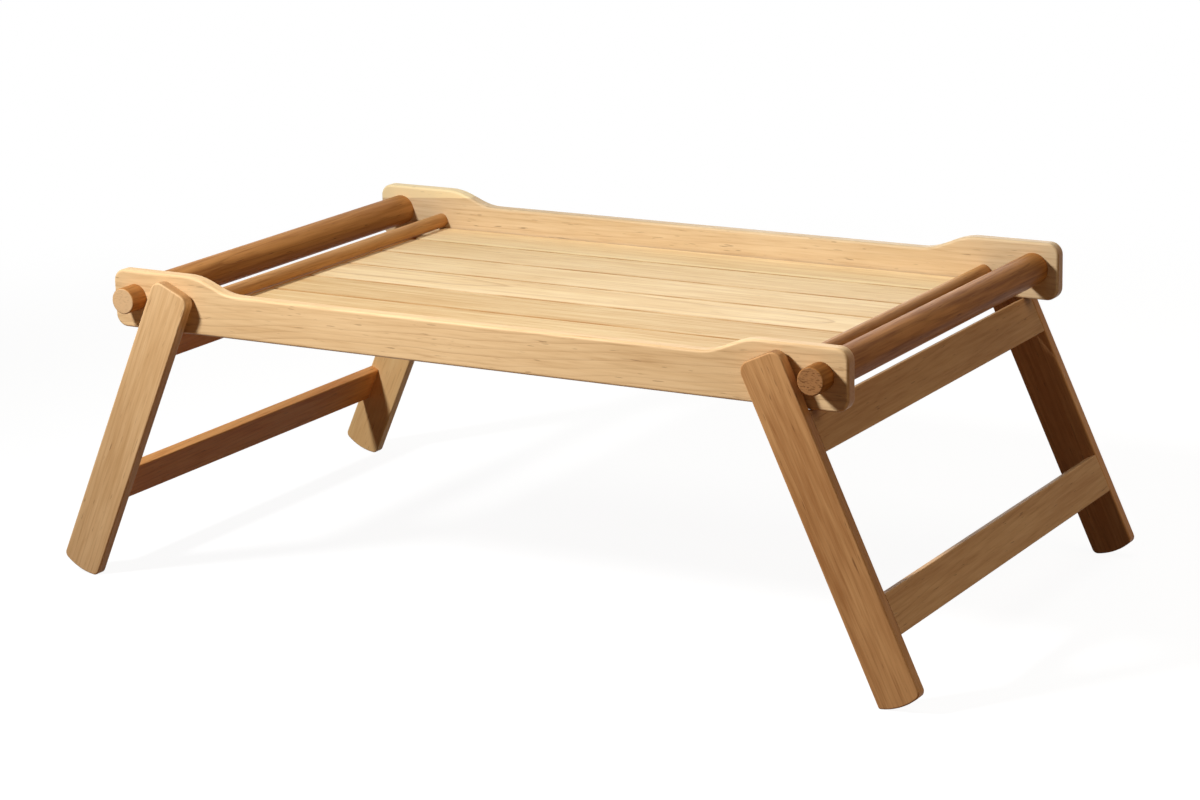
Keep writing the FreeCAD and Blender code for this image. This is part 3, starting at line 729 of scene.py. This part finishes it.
@dataclass
class LegFrame:
    """Two splayed legs and the two stretchers between them, on one side."""

    side: Side
    tones: dict[End, WoodTone]
    stretcher_tone: WoodTone
    seed: float
    leg_seed_step: float = 3.0
    stretcher_seed: float = 11.0
    stretcher_seed_step: float = 4.0
    leg_row: float = 0.2
    out_of_pivot: float = 5.9 * MM
    middle_drop: float = 114.75 * MM
    leg_half: Triple = (132.15 * MM, 17.5 * MM, 5.0 * MM)
    stretcher_half: Triple = (196.0 * MM, 15.5 * MM, 4.25 * MM)

    def leg_centre(self, end: End) -> Triple:
        """Find the middle of a leg: from the pivot a little outward and half-way down its splay.

        Args:
            end: which of the two legs.

        Returns:
            The middle.
        """
        along = self.out_of_pivot * math.cos(SPLAY) + self.middle_drop * math.sin(SPLAY)
        up = self.out_of_pivot * math.sin(SPLAY) - self.middle_drop * math.cos(SPLAY)
        return (self.side.value * (PIVOT_X + along), end.value * self.leg_row, PIVOT_Z + up)

    def build(self) -> None:
        """Dress the frame's four boards."""
        word = self.side.name.lower()
        for end in End:
            node = f"leg_{word}_{end.name.lower()}"
            wood = Wood(self.tones[end], Cut.RIFT if end is End.FRONT else Cut.CROWN,
                        self.seed + self.leg_seed_step * end.value, ring_spacing=3.0 * MM, rings=0.30,
                        drift=0.014, wobble=3.5 * MM, streaks=0.5, patches=0.9, flecks=0.5, gloss=0.45,
                        sheen=0.10, run=20.0)
            board = Board.leg(self.side, self.leg_centre(end), self.leg_half)
            dress(node, wood.material(f"wood_{node}", board))
        for i, level in enumerate(("upper", "lower")):
            node = f"{level}_stretcher_{word}"
            centre, _ = middle(node)
            wood = Wood(self.stretcher_tone, Cut.RIFT,
                        self.seed + self.stretcher_seed + self.stretcher_seed_step * i,
                        ring_spacing=3.4 * MM, rings=0.32, drift=0.05, wobble=5.0 * MM, streaks=0.5,
                        flecks=0.45, gloss=0.48, sheen=0.07, run=14.0)
            board = Board.stretcher(self.side, centre, self.stretcher_half)
            dress(node, wood.material(f"wood_{node}", board))


@dataclass
class SlatScrews:
    """Countersunk screws with a cross recess, driven up through the battens."""

    head_radius: float = 3.0 * MM
    head_height: float = 1.8 * MM
    face_inset: float = 0.12 * MM
    rim_heights: Pair = (0.10 * MM, 0.16 * MM)
    neck: float = 0.4 * MM
    shank_radius: float = 1.5 * MM
    thread_rows: int = 41
    thread_depth: float = 0.14
    length: float = 10.2 * MM
    point_length: float = 1.6 * MM
    recess_half_width: float = 0.42 * MM
    recess_reach: float = 1.75 * MM
    recess_depth: float = 1.1 * MM
    recess_side_slope: float = 0.2 * MM
    recess_end_slope: float = 0.8 * MM
    batten_x: float = 0.236
    slat_pitch: float = 51.857 * MM
    rows: int = 7
    around: int = 48
    face_rings: int = 14

    def profile(self) -> tuple[np.ndarray, np.ndarray]:
        """Radius and height of the rings from the middle of the head's face over its rim to the point.

        Returns:
            The radii and the heights.
        """
        face = np.linspace(0.0, self.head_radius - self.face_inset, self.face_rings)
        thread_low = self.head_height + self.neck
        turns = np.linspace(thread_low, self.length - self.point_length, self.thread_rows)
        ridge = self.shank_radius * (1.0 - self.thread_depth * (np.arange(turns.size) % 2))
        radius = np.concatenate([face, [self.head_radius, self.head_radius, self.shank_radius], ridge, [0.0]])
        height = np.concatenate([np.zeros(face.size), [*self.rim_heights, self.head_height], turns,
                                 [self.length]])
        return radius, height

    def mesh(self) -> bpy.types.Mesh:
        """Revolve the profile and sink a cross into the head's face.

        A point at ring radius r and angle a is (r cos a, r sin a, h). On the face, h rises by the recess
        depth times the greater of two smooth slots, one along each of the two arms, each the product of
        a step across the arm's half width and a step along its reach.

        Returns:
            One mesh with every screw in its place.
        """
        radius, height = self.profile()
        angle = np.linspace(0.0, 2 * np.pi, self.around, endpoint=False)
        x = radius[:, None] * np.cos(angle)
        y = radius[:, None] * np.sin(angle)
        z = np.repeat(height[:, None], self.around, axis=1)
        slot = np.maximum(self._arm(x, y), self._arm(y, x))
        z[:self.face_rings] += self.recess_depth * slot[:self.face_rings]
        one = np.stack([x, y, z], axis=-1).reshape(-1, 3)
        low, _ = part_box("slat_screws")
        columns = np.array([-self.batten_x, 0.0, self.batten_x])
        lines = (np.arange(self.rows) - (self.rows - 1) / 2) * self.slat_pitch
        where = np.stack(np.meshgrid(columns, lines, [low.z], indexing="ij"), axis=-1).reshape(-1, 3)
        points = (where[:, None, :] + one[None]).reshape(-1, 3)
        ring, step = np.meshgrid(np.arange(radius.size - 1), np.arange(self.around), indexing="ij")
        after = (step + 1) % self.around
        near, far = ring * self.around, (ring + 1) * self.around
        quad = np.stack([near + step, far + step, far + after, near + after], axis=-1).reshape(-1, 4)
        faces = (np.arange(len(where))[:, None, None] * len(one) + quad[None]).reshape(-1, 4)
        made = bpy.data.meshes.new("slat_screws_driven")
        made.from_pydata(points.tolist(), [], faces.tolist())
        made.update()
        return made

    def _arm(self, along: np.ndarray, across: np.ndarray) -> np.ndarray:
        """Sink one arm of the cross: a slope across its half width, times a slope at its reach.

        Args:
            along: distances from the screw's middle along the arm.
            across: distances from the screw's middle across the arm.

        Returns:
            Its depth, 0 to 1.
        """
        side = np.clip((self.recess_half_width - np.abs(across)) / self.recess_side_slope + 0.5, 0.0, 1.0)
        reach = np.clip((self.recess_reach - np.abs(along)) / self.recess_end_slope, 0.0, 1.0)
        return side * reach

    def build(self) -> None:
        """Make the screws, merge their poles and put them in the place of the plain ones."""
        made = bpy.data.objects.new("slat_screws_driven", self.mesh())
        bpy.context.scene.collection.objects.link(made)
        clean_normals(made.data)
        made.data.materials.append(STEEL.material("screw_steel_plated"))
        made.data.polygons.foreach_set("use_smooth", [True] * len(made.data.polygons))
        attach(made, "tray")
        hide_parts("slat_screws")
        log.info("built %s, %d faces", made.name, len(made.data.polygons))


def clean_normals(mesh: bpy.types.Mesh) -> None:
    """Merge doubled points of a mesh and turn its faces outward.

    Args:
        mesh: the mesh, changed in place.
    """
    work = bmesh.new()
    work.from_mesh(mesh)
    bmesh.ops.remove_doubles(work, verts=work.verts, dist=MERGE_DISTANCE)
    bmesh.ops.recalc_face_normals(work, faces=work.faces)
    work.to_mesh(mesh)
    work.free()


@dataclass
class Studio:
    """Floor, lamps, world and camera."""

    camera_place: Triple = (1.25839, -2.11039, 0.78474)
    yaw: float = math.radians(30.6748)
    pitch: float = math.radians(-14.8019)
    roll: float = math.radians(-1.5122)
    lens: float = 95.8836
    sensor: float = 36.0
    nearest: float = 0.05
    farthest: float = 60.0
    key_place: Triple = (-0.58, -0.88, 0.98)
    key_aim: Triple = (8.07, 3.32, -1.82)
    key_power: float = 18.6
    key_size: float = 0.22
    key_spread: float = math.radians(150.0)
    top_place: Triple = (0.25, 0.15, 1.75)
    top_aim: Triple = (0.0, 0.0, 0.2)
    top_power: float = 6.2
    top_size: float = 1.2
    fill_place: Triple = (2.3, 0.1, 1.1)
    fill_aim: Triple = (0.2, 0.0, 0.15)
    fill_power: float = 9.5
    fill_size: float = 1.5
    back_place: Triple = (-0.7, 2.3, 0.75)
    back_aim: Triple = (0.0, 0.0, 0.15)
    back_power: float = 6.0
    back_size: float = 1.2
    sky: float = 0.045
    warm_tint: Colour = (1.0, 0.76, 0.48, 1.0)
    floor_bounce: Colour = (0.17, 0.078, 0.032, 1.0)
    floor_paint: Colour = (0.15, 0.15, 0.15, 1.0)
    floor_glow: float = 0.935
    floor_half: float = 9.0
    pool_edge: float = 0.85
    pool_end: float = 1.5

    def camera(self) -> None:
        """Place the camera: yawed to the left, pitched down and rolled about its own axis."""
        forward = Vector((-math.sin(self.yaw) * math.cos(self.pitch),
                          math.cos(self.yaw) * math.cos(self.pitch), math.sin(self.pitch)))
        level = Vector((math.cos(self.yaw), math.sin(self.yaw), 0.0))
        upright = level.cross(forward)
        right = math.cos(self.roll) * level + math.sin(self.roll) * upright
        up = -math.sin(self.roll) * level + math.cos(self.roll) * upright
        data = bpy.data.cameras.new("photo_camera")
        data.lens, data.sensor_width = self.lens, self.sensor
        data.clip_start, data.clip_end = self.nearest, self.farthest
        made = bpy.data.objects.new("photo_camera", data)
        made.matrix_world = Matrix.Translation(self.camera_place) @ Matrix(
            [(right[i], up[i], -forward[i]) for i in range(3)]).to_4x4()
        bpy.context.scene.collection.objects.link(made)
        bpy.context.scene.camera = made

    def lamp(self, name: str, place: Triple, aim: Triple, size: float, power: float,
             spread: float = math.pi) -> bpy.types.Light:
        """Hang one round softbox.

        Args:
            name: the lamp's name.
            place: where it hangs.
            aim: the point that it faces.
            size: its diameter.
            power: its power in watts.
            spread: the full angle that its grid lets out.

        Returns:
            The lamp's data.
        """
        data = bpy.data.lights.new(name, "AREA")
        data.shape, data.size, data.energy, data.spread = "DISK", size, power, spread
        made = bpy.data.objects.new(name, data)
        made.location = place
        made.rotation_euler = (Vector(aim) - Vector(place)).to_track_quat("-Z", "Y").to_euler()
        bpy.context.scene.collection.objects.link(made)
        return data

    def lamps(self) -> None:
        """The key in front on the left, and weak wide lamps above, on the right and behind.

        The key stands between the places that the photographed shadows of the two ends ask for.
        """
        self.lamp("key_softbox", self.key_place, self.key_aim, self.key_size, self.key_power, self.key_spread)
        self.lamp("top_softbox", self.top_place, self.top_aim, self.top_size, self.top_power)
        fill = self.lamp("fill_softbox", self.fill_place, self.fill_aim, self.fill_size, self.fill_power)
        fill.color = self.warm_tint[:3]
        self.lamp("back_softbox", self.back_place, self.back_aim, self.back_size, self.back_power)

    def world(self) -> None:
        """A white surround for the eye and for gloss, a dim warm one for everything else."""
        made = bpy.data.worlds.new("surround")
        bpy.context.scene.world = made
        graph = ShaderGraph(made)
        dim = graph.node("ShaderNodeBackground", None, {"Color": self.warm_tint, "Strength": self.sky})
        white = graph.node("ShaderNodeBackground", None, {"Color": WHITE, "Strength": 1.0})
        mixed = graph.mix_shaders(graph.seen(), graph.out(dim), graph.out(white))
        graph.node("ShaderNodeOutputWorld", None, {"Surface": mixed})

    def floor(self) -> None:
        """A plain floor, white to the eye but for the object's faint shadow, and clear from below."""
        size = self.floor_half
        data = bpy.data.meshes.new("floor")
        corners = [(-size, -size, 0.0), (size, -size, 0.0), (size, size, 0.0), (-size, size, 0.0)]
        data.from_pydata(corners, [], [(0, 1, 2, 3)])
        made = bpy.data.objects.new("floor", data)
        bpy.context.scene.collection.objects.link(made)
        graph = ShaderGraph(bpy.data.materials.new("floor_white"))
        bounce = graph.out(graph.node("ShaderNodeBsdfDiffuse", None, {"Color": self.floor_bounce}))
        lit = graph.out(graph.node("ShaderNodeBsdfDiffuse", None, {"Color": self.floor_paint}))
        glow = graph.out(graph.node("ShaderNodeEmission", None, {"Strength": self.floor_glow}))
        near = graph.out(graph.node("ShaderNodeAddShader", None, {0: lit, 1: glow}))
        reach = graph.node("ShaderNodeVectorMath", {"operation": "LENGTH"},
                           {0: graph.out(graph.node("ShaderNodeTexCoord"), "Object")})
        away = graph.step(graph.out(reach, "Value"), self.pool_edge, self.pool_end)
        white = graph.out(graph.node("ShaderNodeEmission", None, {"Strength": 1.0}))
        above = graph.mix_shaders(graph.seen(), bounce, graph.mix_shaders(away, near, white))
        under = graph.out(graph.node("ShaderNodeNewGeometry"), "Backfacing")
        clear = graph.out(graph.node("ShaderNodeBsdfTransparent"))
        graph.node("ShaderNodeOutputMaterial", None, {"Surface": graph.mix_shaders(under, above, clear)})
        data.materials.append(graph.owner)

    def build(self) -> None:
        """Set up the whole studio."""
        self.camera()
        self.lamps()
        self.world()
        self.floor()
        bpy.context.scene.view_settings.view_transform = "Standard"
        log.info("studio ready")


def main() -> None:
    """Build the studio and dress the tray, sub-assembly by sub-assembly."""
    logging.basicConfig(level=logging.INFO, format="%(name)s: %(message)s")
    assemblies = (
        Studio(), SideRails(), SlatBed(), EndBars(),
        LegFrame(Side.LEFT, {End.FRONT: TAN, End.BACK: AMBER}, RUSSET, 140.0),
        LegFrame(Side.RIGHT, {End.FRONT: BROWN, End.BACK: UMBER}, DRIFTWOOD, 170.0),
        SlatScrews())
    for assembly in assemblies:
        assembly.build()


if __name__ == "__main__":
    main()
